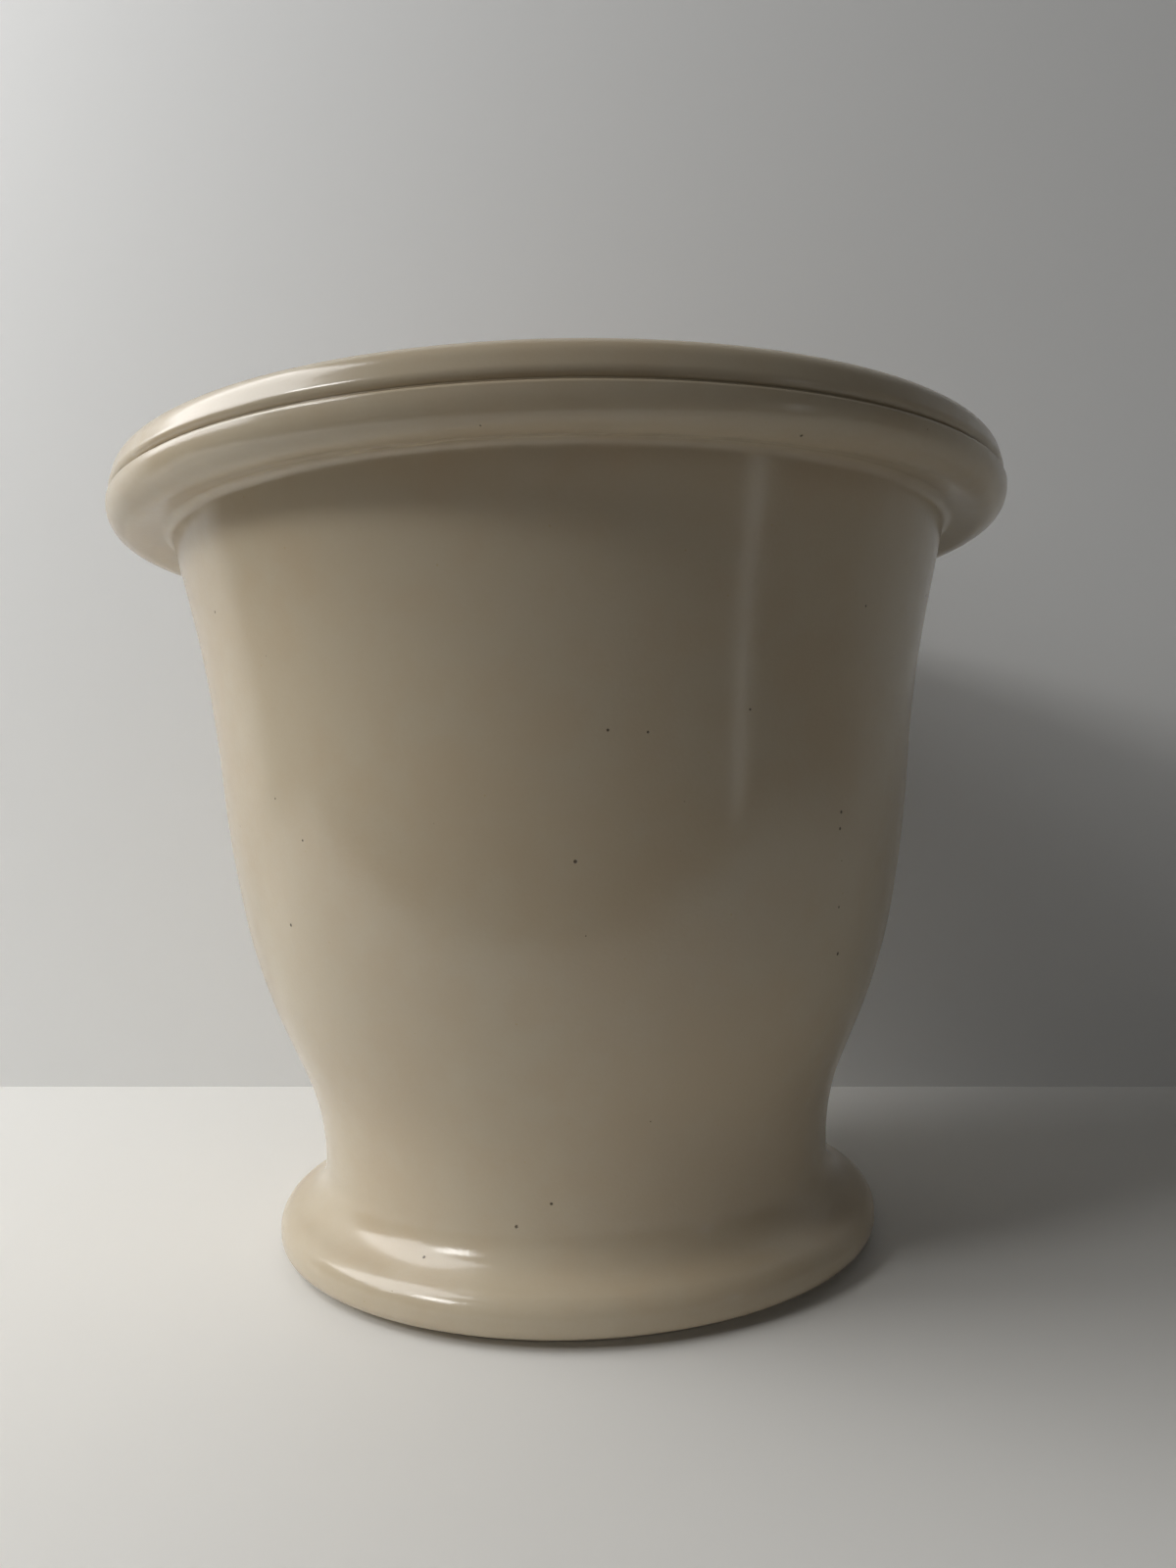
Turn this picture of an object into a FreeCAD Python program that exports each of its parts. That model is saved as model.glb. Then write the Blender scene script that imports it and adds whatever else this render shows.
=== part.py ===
"""Mortar and pestle: a footed stoneware mortar with a flanged lip, and its pestle, whose
stoneware head is cemented on to a turned wooden handle.

Millimetres, +Z up. The origin is on the mortar's axis, in the plane that its foot stands on.
The pestle is drawn upright from its grinding end and then leant in the bowl until it rests.
"""
import FreeCAD, Part
import math
import os
import Sketcher
from FreeCAD import Placement, Rotation, Vector

SIZES = (
    ("foot_radius", 61.4, "outside of the rolled foot"),
    ("foot_height", 4.9, "top corner of the roll"),
    ("foot_round", 2.5, "rounds of the roll"),
    ("foot_gap", 0.8, "the roll stands this far off the table"),
    ("ring_radius", 58.0, "outside of the ring that the mortar stands on"),
    ("ring_width", 12.0, "width of that ring"),
    ("recess_depth", 4.5, "hollow under the base"),
    ("recess_draft", 2.5, "how far the hollow narrows towards its roof"),
    ("recess_round", 1.5, "round in the hollow's corner"),
    ("waist_depth", 9.2, "how far the waist lies inside the foot"),
    ("cove_height", 10.2, "corner between the foot's slope and the waist"),
    ("cove_round", 11.7, "hollow curve above the foot"),
    ("stem_height", 27.4, "corner where the body starts to widen"),
    ("stem_round", 46.5, "hollow curve from the waist to the body"),
    ("belly_station", 0.262, "share of the way from the stem corner to the neck corner"),
    ("belly_bulge", 5.7, "how far the body swells past a straight line there"),
    ("belly_round", 115.0, "full curve of the belly"),
    ("wall_station", 0.503, "share of the way from the stem corner to the neck corner"),
    ("wall_bulge", 4.2, "how far the body swells past a straight line there"),
    ("wall_round", 236.0, "flat curve of the wall"),
    ("shoulder_station", 0.766, "share of the way from the stem corner to the neck corner"),
    ("shoulder_round", 236.0, "slightly hollow curve below the flange"),
    ("rim_radius", 90.0, "widest place, on the lower band of the flange"),
    ("flange_overhang", 12.7, "how far the flange stands out past the neck corner"),
    ("neck_drop", 19.2, "neck corner below the flat top"),
    ("neck_round", 8.0, "hollow curve under the flange"),
    ("underside_drop", 11.6, "outer corner of the underside below the flat top"),
    ("rim_round", 4.9, "round from the underside to the widest place"),
    ("band_drop", 7.2, "upper corner of the lower band below the flat top"),
    ("band_round", 1.5, "round on that corner"),
    ("crease_drop", 6.7, "bottom of the crease below the flat top"),
    ("crease_depth", 1.0, "how far the crease cuts in behind the lip's face"),
    ("lip_setback", 1.1, "lip's face inside the widest place"),
    ("lip_drop", 6.1, "lower corner of the lip below the flat top"),
    ("lip_turn_round", 1.0, "round on that corner"),
    ("lip_round", 4.2, "round on the outer top edge"),
    ("overall_height", 153.8, "table to the flat top"),
    ("rim_width", 20.0, "widest place in to the mouth"),
    ("mouth_round", 3.5, "round on the inner top edge"),
    ("bowl_base_radius", 52.0, "corner between the bowl's wall and floor"),
    ("bowl_round", 56.0, "curve that joins them, nearly a ball"),
    ("floor_height", 26.0, "lowest point of the bowl"),
    ("dome_corner", 12.5, "radius of the corner under the grinding face"),
    ("dome_round", 25.2, "curve of the grinding face"),
    ("edge_height", 8.6, "corner between the grinding face and the side"),
    ("edge_round", 8.0, "round between them"),
    ("head_radius", 24.0, "widest place of the head"),
    ("cheek_height", 24.0, "corner where the head starts to narrow"),
    ("cheek_round", 54.0, "full curve of the side"),
    ("throat_radius", 12.2, "thinnest place of the head"),
    ("throat_drop", 19.0, "corner where the head is thinnest, below the top of the collar"),
    ("throat_round", 35.0, "hollow curve below the collar"),
    ("collar_radius", 15.2, "bead at the top of the head"),
    ("collar_band", 9.0, "height of the bead"),
    ("collar_seam_round", 1.0, "hollow round under the bead"),
    ("collar_lower_round", 1.9, "lower round of the bead"),
    ("collar_upper_round", 3.0, "upper round of the bead"),
    ("head_length", 71.0, "grinding end to the top of the collar"),
    ("socket_radius", 8.0, "blind hole for the handle"),
    ("socket_depth", 25.0, "depth of that hole"),
    ("cement_wall", 0.8, "cement round and under the tenon"),
    ("cement_bed", 0.9, "cement under the handle's shoulder"),
    ("cement_squeeze", 0.5, "how far the bed stands out past the shoulder"),
    ("cement_round", 0.4, "round on the edge of the bed"),
    ("key_radius", 0.6, "half-round rings that lock the cement"),
    ("key_depth", 5.0, "first ring of the socket below the collar"),
    ("key_pitch", 7.0, "from one ring to the next"),
    ("key_count", 3, "rings in the socket, and rings on the tenon"),
    ("tenon_round", 0.8, "round on the end of the tenon"),
    ("shoulder_radius", 11.4, "foot of the handle"),
    ("shoulder_edge", 0.8, "round at the foot of the handle"),
    ("shoulder_height", 5.0, "above the handle's shoulder face"),
    ("quirk_radius", 9.6, "turned groove above the shoulder"),
    ("quirk_height", 6.6, "above the handle's shoulder face"),
    ("quirk_round", 0.8, "round in and beside the groove"),
    ("bead_radius", 11.0, "small turned bead above the groove"),
    ("bead_height", 9.2, "above the handle's shoulder face"),
    ("bead_round", 2.2, "round of that bead"),
    ("grip_waist_radius", 8.6, "thinnest place of the grip"),
    ("grip_waist_height", 33.0, "above the handle's shoulder face"),
    ("grip_round", 60.0, "long curves of the grip"),
    ("knob_radius", 15.6, "widest place of the grip"),
    ("knob_height", 82.0, "above the handle's shoulder face"),
    ("crown_radius", 14.2, "corner over the end of the handle"),
    ("crown_round", 12.5, "round over the end of the handle"),
    ("handle_length", 112.0, "shoulder face to the end"),
    ("seat_clearance", 0.3, "gap at each of the two places where the pestle rests"),
    ("seat_offset", 4.0, "middle of the grinding curve, off the axis, away from the lean"),
    ("lean_direction", 90.0, "degrees from +X towards +Y"),
)

doc = FreeCAD.newDocument("MortarAndPestle")
sheet = doc.addObject("Spreadsheet::Sheet", "Sizes")
for row, (alias, value, note) in enumerate(SIZES, start=1):
    sheet.set(f"A{row}", alias)
    sheet.set(f"B{row}", str(value))
    sheet.set(f"C{row}", note)
    sheet.setAlias(f"B{row}", alias)
doc.recompute()


def size(alias):
    return float(sheet.get(alias))


def sheet_expression(text):
    """A sum or product of sheet names, as FreeCAD's expressions write it."""
    names = [f"Sizes.{word}" if word.isidentifier() else word for word in text.split()]
    return " ".join(names)


def new_sketch(body, label):
    """A sketch in the body's own XZ plane: x is the radius, y is the height."""
    sketch = body.newObject("Sketcher::SketchObject", label)
    side = next(item for item in body.Origin.OriginFeatures if item.Role == "XZ_Plane")
    sketch.AttachmentSupport = (side, [""])
    sketch.MapMode = "FlatFace"
    return sketch


def bind(sketch, constraint, expression):
    """Add a size to the sketch and tie it to the sheet."""
    index = sketch.addConstraint(constraint)
    sketch.setExpression(f"Constraints[{index}]", sheet_expression(expression))


def pin_point(sketch, edge, position, radius, height):
    """Hold a point at a radius and a height, which are expressions, or None on an axis."""
    if radius is None:
        sketch.addConstraint(Sketcher.Constraint("PointOnObject", edge, position, -2))
    else:
        bind(sketch, Sketcher.Constraint("DistanceX", -1, 1, edge, position, 1.0), radius)
    if height is None:
        sketch.addConstraint(Sketcher.Constraint("PointOnObject", edge, position, -1))
    else:
        bind(sketch, Sketcher.Constraint("DistanceY", -1, 1, edge, position, 1.0), height)


def tangent_lengths(sketch, corners):
    """How much of its two edges each corner's round takes, and the share that they can give."""
    edges = sketch.Geometry[: len(corners)]
    lengths = [edge.length() for edge in edges]
    headings = [(edge.EndPoint - edge.StartPoint) for edge in edges]
    taken = []
    for index, (radius, height, rounding) in enumerate(corners):
        half_turn = headings[index - 1].getAngle(headings[index]) / 2
        taken.append(size(rounding) * math.tan(half_turn) if rounding else 0.0)
    count = len(corners)
    asked = [taken[index] + taken[(index + 1) % count] for index in range(count)]
    given = [min(1.0, 0.98 * lengths[index] / max(asked[index], 1e-9)) for index in range(count)]
    return [min(given[index - 1], given[index]) for index in range(count)]


def draw_outline(body, label, corners):
    """A closed half outline. Each corner is (radius, height, round), in the sheet's names.

    A round is drawn smaller only where its edges are too short for it.
    """
    sketch = new_sketch(body, label)
    count = len(corners)
    start = [Vector(math.cos(step * math.tau / count), math.sin(step * math.tau / count))
             for step in range(count)]
    for index in range(count):
        sketch.addGeometry(Part.LineSegment(start[index], start[(index + 1) % count]), False)
    for index in range(count):
        previous = (index - 1) % count
        sketch.addConstraint(Sketcher.Constraint("Coincident", previous, 2, index, 1))
    for index, (radius, height, rounding) in enumerate(corners):
        pin_point(sketch, index, 1, radius, height)
    doc.recompute()
    shares = tangent_lengths(sketch, corners)
    middles = [(edge.StartPoint + edge.EndPoint) / 2 for edge in sketch.Geometry]
    for index, (radius, height, rounding) in enumerate(corners):
        if rounding is None:
            continue
        previous = (index - 1) % count
        amount = size(rounding) * shares[index]
        corner = sketch.Geometry[index].StartPoint
        sketch.fillet(previous, index, (corner + middles[previous]) / 2,
                      (corner + middles[index]) / 2, amount, True, True)
        arc = next(number for number in range(sketch.GeometryCount - 1, -1, -1)
                   if isinstance(sketch.Geometry[number], Part.ArcOfCircle))
        expression = rounding if shares[index] == 1.0 else f"{rounding} * {shares[index]:.6f}"
        bind(sketch, Sketcher.Constraint("Radius", arc, amount), expression)
    return sketch


def draw_rings(body, label, rings):
    """Small circles for half-round rings. Each is (radius, height), in the sheet's names."""
    sketch = new_sketch(body, label)
    for index, (radius, height) in enumerate(rings):
        middle = Vector(10.0 * (index + 1), 10.0, 0)
        sketch.addGeometry(Part.Circle(middle, Vector(0, 0, 1), 1.0), False)
        pin_point(sketch, index, 3, radius, height)
        bind(sketch, Sketcher.Constraint("Radius", index, 1.0), "key_radius")
    return sketch


def turn(body, kind, label, sketch):
    """A full turn of a sketch about the body's axis: Revolution adds, Groove cuts."""
    before = body.Shape.Volume if not body.Shape.isNull() else 0.0
    feature = body.newObject(f"PartDesign::{kind}", label)
    feature.Profile = sketch
    feature.ReferenceAxis = (sketch, ["V_Axis"])
    feature.Angle = 360.0
    doc.recompute()
    change = feature.Shape.Volume - before
    if (change > 0) != (kind == "Revolution"):
        raise RuntimeError(f"{label} changed {body.Label} by {change:.1f} mm3")
    return feature


def new_body(label):
    body = doc.addObject("PartDesign::Body", label)
    body.Label = label
    return body


def ring_heights(first):
    """Heights of the locking rings, downwards from the collar's top face."""
    count = int(size("key_count"))
    return [f"head_length - {first} - {index} * key_pitch" for index in range(count)]


SOCKET_RINGS = [("socket_radius", height) for height in ring_heights("key_depth")]
TENON_RINGS = [("socket_radius - cement_wall", height)
               for height in ring_heights("key_depth - 0.5 * key_pitch")]
SOCKET_FLOOR = "head_length - socket_depth"
TENON_END = "head_length - socket_depth + cement_wall"
TENON_RADIUS = "socket_radius - cement_wall"
SHOULDER_FACE = "head_length + cement_bed"


def body_station(name, bulge):
    """A corner of the mortar's side, between the stem corner and the neck corner."""
    waist = "foot_radius - waist_depth"
    neck = "rim_radius - flange_overhang"
    climb = "overall_height - neck_drop - stem_height"
    radius = f"{waist} + {name}_station * ( {neck} - foot_radius + waist_depth ) + {bulge}"
    height = f"stem_height + {name}_station * ( {climb} )"
    return radius, height, f"{name}_round"


def make_mortar():
    """Foot ring, rolled foot, waist, body, flange with its crease and lip, and the bowl."""
    body = new_body("mortar_body")
    waist = "foot_radius - waist_depth"
    lip = "rim_radius - lip_setback"
    sketch = draw_outline(body, "mortar_outline", (
        ("ring_radius - ring_width", None, None),
        ("ring_radius", None, None),
        ("ring_radius", "foot_gap", None),
        ("foot_radius", "foot_gap", "foot_round"),
        ("foot_radius", "foot_height", "foot_round"),
        (waist, "cove_height", "cove_round"),
        (waist, "stem_height", "stem_round"),
        body_station("belly", "belly_bulge"),
        body_station("wall", "wall_bulge"),
        body_station("shoulder", "0"),
        ("rim_radius - flange_overhang", "overall_height - neck_drop", "neck_round"),
        ("rim_radius", "overall_height - underside_drop", "rim_round"),
        ("rim_radius", "overall_height - band_drop", "band_round"),
        (f"{lip} - crease_depth", "overall_height - crease_drop", None),
        (lip, "overall_height - lip_drop", "lip_turn_round"),
        (lip, "overall_height", "lip_round"),
        ("rim_radius - rim_width", "overall_height", "mouth_round"),
        ("bowl_base_radius", "floor_height", "bowl_round"),
        (None, "floor_height", None),
        (None, "recess_depth", None),
        ("ring_radius - ring_width - recess_draft", "recess_depth", "recess_round"),
    ))
    turn(body, "Revolution", "mortar_turned", sketch)
    return body, sketch


def make_head():
    """Grinding face, pear-shaped side, collar and the socket for the handle."""
    body = new_body("pestle_head")
    sketch = draw_outline(body, "head_outline", (
        (None, None, None),
        ("dome_corner", None, "dome_round"),
        ("head_radius", "edge_height", "edge_round"),
        ("head_radius", "cheek_height", "cheek_round"),
        ("throat_radius", "head_length - throat_drop", "throat_round"),
        ("throat_radius", "head_length - collar_band", "collar_seam_round"),
        ("collar_radius", "head_length - collar_band", "collar_lower_round"),
        ("collar_radius", "head_length", "collar_upper_round"),
        ("socket_radius", "head_length", None),
        ("socket_radius", SOCKET_FLOOR, None),
        (None, SOCKET_FLOOR, None),
    ))
    turn(body, "Revolution", "head_turned", sketch)
    turn(body, "Groove", "socket_rings", draw_rings(body, "socket_ring_outline", SOCKET_RINGS))
    return body, sketch


def make_handle():
    """Tenon, shoulder, turned bead, waisted grip and rounded end."""
    body = new_body("pestle_handle")
    sketch = draw_outline(body, "handle_outline", (
        (None, TENON_END, None),
        (TENON_RADIUS, TENON_END, "tenon_round"),
        (TENON_RADIUS, SHOULDER_FACE, None),
        ("shoulder_radius", SHOULDER_FACE, "shoulder_edge"),
        ("shoulder_radius", f"{SHOULDER_FACE} + shoulder_height", "quirk_round"),
        ("quirk_radius", f"{SHOULDER_FACE} + quirk_height", "quirk_round"),
        ("bead_radius", f"{SHOULDER_FACE} + bead_height", "bead_round"),
        ("grip_waist_radius", f"{SHOULDER_FACE} + grip_waist_height", "grip_round"),
        ("knob_radius", f"{SHOULDER_FACE} + knob_height", "grip_round"),
        ("crown_radius", f"{SHOULDER_FACE} + handle_length", "crown_round"),
        (None, f"{SHOULDER_FACE} + handle_length", None),
    ))
    turn(body, "Revolution", "handle_turned", sketch)
    turn(body, "Groove", "tenon_rings", draw_rings(body, "tenon_ring_outline", TENON_RINGS))
    return body, sketch


def make_cement():
    """What fills the socket round the tenon, with the bed under the handle's shoulder."""
    body = new_body("handle_cement")
    bed_radius = "shoulder_radius + cement_squeeze"
    filling = draw_outline(body, "cement_outline", (
        (None, SOCKET_FLOOR, None),
        ("socket_radius", SOCKET_FLOOR, None),
        ("socket_radius", "head_length", None),
        (bed_radius, "head_length", None),
        (bed_radius, SHOULDER_FACE, "cement_round"),
        (None, SHOULDER_FACE, None),
    ))
    turn(body, "Revolution", "cement_filling", filling)
    tenon = draw_outline(body, "tenon_space_outline", (
        (None, TENON_END, None),
        (TENON_RADIUS, TENON_END, "tenon_round"),
        (TENON_RADIUS, SHOULDER_FACE, None),
        (None, SHOULDER_FACE, None),
    ))
    turn(body, "Groove", "tenon_space", tenon)
    rings = draw_rings(body, "cement_ring_outline", SOCKET_RINGS + TENON_RINGS)
    turn(body, "Revolution", "cement_rings", rings)
    return body


def section(sketch, place=Placement()):
    """Both halves of an outline, moved within the XZ plane."""
    half = sketch.Shape.copy()
    whole = Part.Compound([half, half.mirror(Vector(0, 0, 0), Vector(1, 0, 0))])
    return whole.transformGeometry(place.toMatrix())


def lean_pestle(mortar_outline, head_outline, handle_outline):
    """Lower the head to the bowl and lean the handle to the mouth until both gaps are right.

    The pestle swings about the middle of its grinding curve, so that leaning keeps the head
    where it rests.
    """
    clearance = size("seat_clearance")
    pivot = size("dome_round")
    lever = size("overall_height") - size("floor_height") - pivot
    mortar = section(mortar_outline)
    height = size("floor_height") + pivot + size("head_radius")
    tilt = 0.0
    for step in range(200):
        swing = Placement(Vector(-size("seat_offset"), 0, height),
                          Rotation(Vector(0, 1, 0), tilt))
        place = swing * Placement(Vector(0, 0, -pivot), Rotation())
        drop = mortar.distToShape(section(head_outline, place))[0] - clearance
        sway = mortar.distToShape(section(handle_outline, place))[0] - clearance
        if abs(drop) < 1e-4 and abs(sway) < 1e-4:
            break
        height -= drop
        tilt += math.degrees(sway / lever)
    else:
        raise RuntimeError("the pestle found no place to rest")
    turned = Placement(Vector(), Rotation(Vector(0, 0, 1), size("lean_direction")))
    return turned * place, tilt


def check_and_export(nodes):
    """Nothing is written unless every feature and every solid is sound."""
    doc.recompute()
    for item in doc.Objects:
        if "Invalid" in item.State or "Error" in item.State:
            raise RuntimeError(f"{item.Label} failed: {item.State}")
        if item.TypeId == "Sketcher::SketchObject" and not item.FullyConstrained:
            raise RuntimeError(f"{item.Label} isn't fully constrained")
    for node in nodes:
        if node.Shape.isNull() or not node.Shape.isValid() or len(node.Shape.Solids) != 1:
            raise RuntimeError(f"{node.Label} isn't one sound solid")
    os.makedirs("parts", exist_ok=True)
    for node in nodes:
        node.Shape.exportStep(f"parts/{node.Label}.step")
        print(f"{node.Label}: {node.Shape.Volume / 1000:.2f} cm3, {node.Shape.BoundBox}")


mortar, mortar_outline = make_mortar()
head, head_outline = make_head()
handle, handle_outline = make_handle()
cement = make_cement()
rest, tilt = lean_pestle(mortar_outline, head_outline, handle_outline)
for piece in (head, cement, handle):
    piece.Placement = rest
print(f"the pestle leans {tilt:.2f} degrees")
check_and_export((mortar, head, cement, handle))
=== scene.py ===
import math

import bpy
from mathutils import Matrix, Vector


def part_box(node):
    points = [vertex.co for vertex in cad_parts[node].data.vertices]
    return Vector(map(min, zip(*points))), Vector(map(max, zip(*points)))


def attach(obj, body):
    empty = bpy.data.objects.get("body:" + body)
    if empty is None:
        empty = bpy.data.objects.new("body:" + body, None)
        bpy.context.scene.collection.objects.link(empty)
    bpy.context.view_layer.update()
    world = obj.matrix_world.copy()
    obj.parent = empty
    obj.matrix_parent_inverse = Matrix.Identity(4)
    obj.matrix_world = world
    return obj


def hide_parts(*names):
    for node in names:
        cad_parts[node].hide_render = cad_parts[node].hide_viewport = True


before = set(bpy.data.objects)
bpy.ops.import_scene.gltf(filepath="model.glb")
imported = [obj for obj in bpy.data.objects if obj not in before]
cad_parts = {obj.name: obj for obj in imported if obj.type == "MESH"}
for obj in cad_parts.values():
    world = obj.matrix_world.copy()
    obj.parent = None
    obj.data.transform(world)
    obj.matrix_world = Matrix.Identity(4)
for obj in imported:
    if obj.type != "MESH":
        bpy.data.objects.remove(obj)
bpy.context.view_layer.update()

mm = 0.001


# Small tools for node trees

def connect(tree, socket, value):
    if isinstance(value, bpy.types.NodeSocket):
        tree.links.new(value, socket)
    else:
        socket.default_value = value


def put(tree, kind, feed=None, **settings):
    node = tree.nodes.new(kind)
    for name, value in settings.items():
        setattr(node, name, value)
    for name, value in (feed or {}).items():
        connect(tree, node.inputs[name], value)
    return node


def maths(tree, operation, first, second=0.0, third=0.0):
    feed = {0: first, 1: second, 2: third}
    return put(tree, "ShaderNodeMath", feed, operation=operation).outputs[0]


def vectorMaths(tree, operation, first, second=(0.0, 0.0, 0.0)):
    return put(tree, "ShaderNodeVectorMath", {0: first, 1: second}, operation=operation).outputs[0]


def scaled(tree, vector, amount):
    return put(tree, "ShaderNodeVectorMath", {0: vector, "Scale": amount}, operation="SCALE").outputs[0]


def stretch(tree, value, low, high, newLow=0.0, newHigh=1.0):
    feed = {0: value, 1: low, 2: high, 3: newLow, 4: newHigh}
    return put(tree, "ShaderNodeMapRange", feed, interpolation_type="SMOOTHSTEP").outputs[0]


def blendColour(tree, amount, first, second, mode="MIX"):
    node = put(tree, "ShaderNodeMix", data_type="RGBA", blend_type=mode)
    colours = [socket for socket in node.inputs if socket.type == "RGBA"]
    for socket, value in ((node.inputs[0], amount), (colours[0], first), (colours[1], second)):
        connect(tree, socket, value)
    return next(socket for socket in node.outputs if socket.type == "RGBA")


def noise(tree, vector, scale, detail=3.0, roughness=0.5, distortion=0.0):
    feed = {"Vector": vector, "Scale": scale, "Detail": detail,
            "Roughness": roughness, "Distortion": distortion}
    return put(tree, "ShaderNodeTexNoise", feed).outputs[0]


def makeGroup(name, kind, inputs, outputs):
    tree = bpy.data.node_groups.new(name, kind)
    for label, socketType, value in inputs:
        socket = tree.interface.new_socket(label, in_out="INPUT", socket_type=socketType)
        if value is not None:
            socket.default_value = value
    for label, socketType in outputs:
        tree.interface.new_socket(label, in_out="OUTPUT", socket_type=socketType)
    return tree, tree.nodes.new("NodeGroupInput"), tree.nodes.new("NodeGroupOutput")


def feedGroup(tree, group, feed):
    return put(tree, "ShaderNodeGroup", feed, node_tree=group).outputs[0]


def newMaterial(name):
    material = bpy.data.materials.new(name)
    material.use_nodes = True
    tree = material.node_tree
    tree.nodes.clear()
    shader = tree.nodes.new("ShaderNodeBsdfPrincipled")
    output = tree.nodes.new("ShaderNodeOutputMaterial")
    tree.links.new(shader.outputs[0], output.inputs["Surface"])
    return material, tree, shader


# Camera: close in front of the mortar, a little over half its height

cameraView = {
    "place": (0.0, -0.247, 0.0906),
    "lens": 26.53, "sensor": 36.0, "nearest": 0.01,
    "yaw": -0.0179,
    "pitch": 0.0042,
    "roll": -0.0274,
}


def makeCamera():
    data = bpy.data.cameras.new("camera")
    data.lens = cameraView["lens"]
    data.sensor_width = cameraView["sensor"]
    data.clip_start = cameraView["nearest"]
    camera = bpy.data.objects.new("camera", data)
    bpy.context.scene.collection.objects.link(camera)
    heading = Matrix.Rotation(cameraView["yaw"], 4, "Z") @ Matrix.Rotation(cameraView["pitch"], 4, "X")
    upright = Matrix.Rotation(math.pi / 2, 4, "X")
    roll = Matrix.Rotation(cameraView["roll"], 4, "Z")
    camera.matrix_world = Matrix.Translation(cameraView["place"]) @ heading @ upright @ roll
    bpy.context.scene.camera = camera


# Turned shapes: a half outline with rounded corners, turned about the Z axis

outlineSizes = {
    "step": 1.6,          # longest run of the outline without a point
    "arcStep": 8.0,       # degrees of arc between points
    "arcRuns": 3,         # fewest runs in an arc
    "edgeTurn": 20.0,     # degrees that an outer corner turns by before it can be an edge
    "edgeRound": 4.3,     # a corner with a rounder turn than this is no edge
    "edgeFade": 1.3,      # how far the edge mask reaches past the round
    "weld": 0.004,        # points closer than this become one, at the seam and the poles
}


def cornerArc(before, corner, after, rounding):
    toBefore = (before - corner).normalized()
    toAfter = (after - corner).normalized()
    half = toBefore.angle(toAfter) / 2
    centre = corner + (toBefore + toAfter).normalized() * rounding / math.sin(half)
    start = corner + toBefore * rounding / math.tan(half) - centre
    end = corner + toAfter * rounding / math.tan(half) - centre
    sweep = math.atan2(start.x * end.y - start.y * end.x, start.dot(end))
    steps = max(outlineSizes["arcRuns"],
                math.ceil(abs(sweep) / math.radians(outlineSizes["arcStep"])),
                math.ceil(abs(sweep) * rounding / outlineSizes["step"]))
    points = [centre + Matrix.Rotation(sweep * k / steps, 2) @ start for k in range(steps + 1)]
    isEdge = sweep > math.radians(outlineSizes["edgeTurn"]) and rounding < outlineSizes["edgeRound"]
    return points, isEdge


def roundedOutline(corners):
    # each corner is (radius, height, round, bare); the solid lies to the left of the path
    places = [Vector(corner[:2]) for corner in corners]
    arcs = []
    for index, corner in enumerate(corners):
        if corner[2]:
            points, isEdge = cornerArc(places[index - 1], places[index], places[index + 1], corner[2])
        else:
            points, isEdge = [places[index]], False
        arcs.append((points, isEdge, corner[3]))
    path = []
    for index, (points, isEdge, bare) in enumerate(arcs):
        path += [(point, bare, isEdge) for point in points]
        if index + 1 == len(arcs):
            break
        start, end, nextBare = points[-1], arcs[index + 1][0][0], arcs[index + 1][2]
        count = max(2, math.ceil((end - start).length / outlineSizes["step"]) + 1)
        for k in range(1, count):
            share = (1 - math.cos(math.pi * k / count)) / 2
            path.append((start.lerp(end, share), bare + (nextBare - bare) * share, False))
    return path


def edgeMask(path):
    along = [0.0]
    for (first, _, _), (second, _, _) in zip(path, path[1:]):
        along.append(along[-1] + (second - first).length)
    edges = [place for place, point in zip(along, path) if point[2]]
    fade = outlineSizes["edgeFade"]
    return [max((math.exp(-((place - edge) / fade) ** 2) for edge in edges), default=0.0)
            for place in along]


def outlineMesh(name, corners):
    path = roundedOutline(corners)
    mesh = bpy.data.meshes.new(name)
    points = [(point.x * mm, 0.0, point.y * mm) for point, _, _ in path]
    mesh.from_pydata(points, [(k, k + 1) for k in range(len(points) - 1)], [])
    masks = {"bare": [bare for _, bare, _ in path], "edge": edgeMask(path)}
    for label, values in masks.items():
        mesh.attributes.new(label, "FLOAT", "POINT").data.foreach_set("value", values)
    return mesh


ringDrift = 4.0     # how fast a mark changes on its way round, per metre


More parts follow.
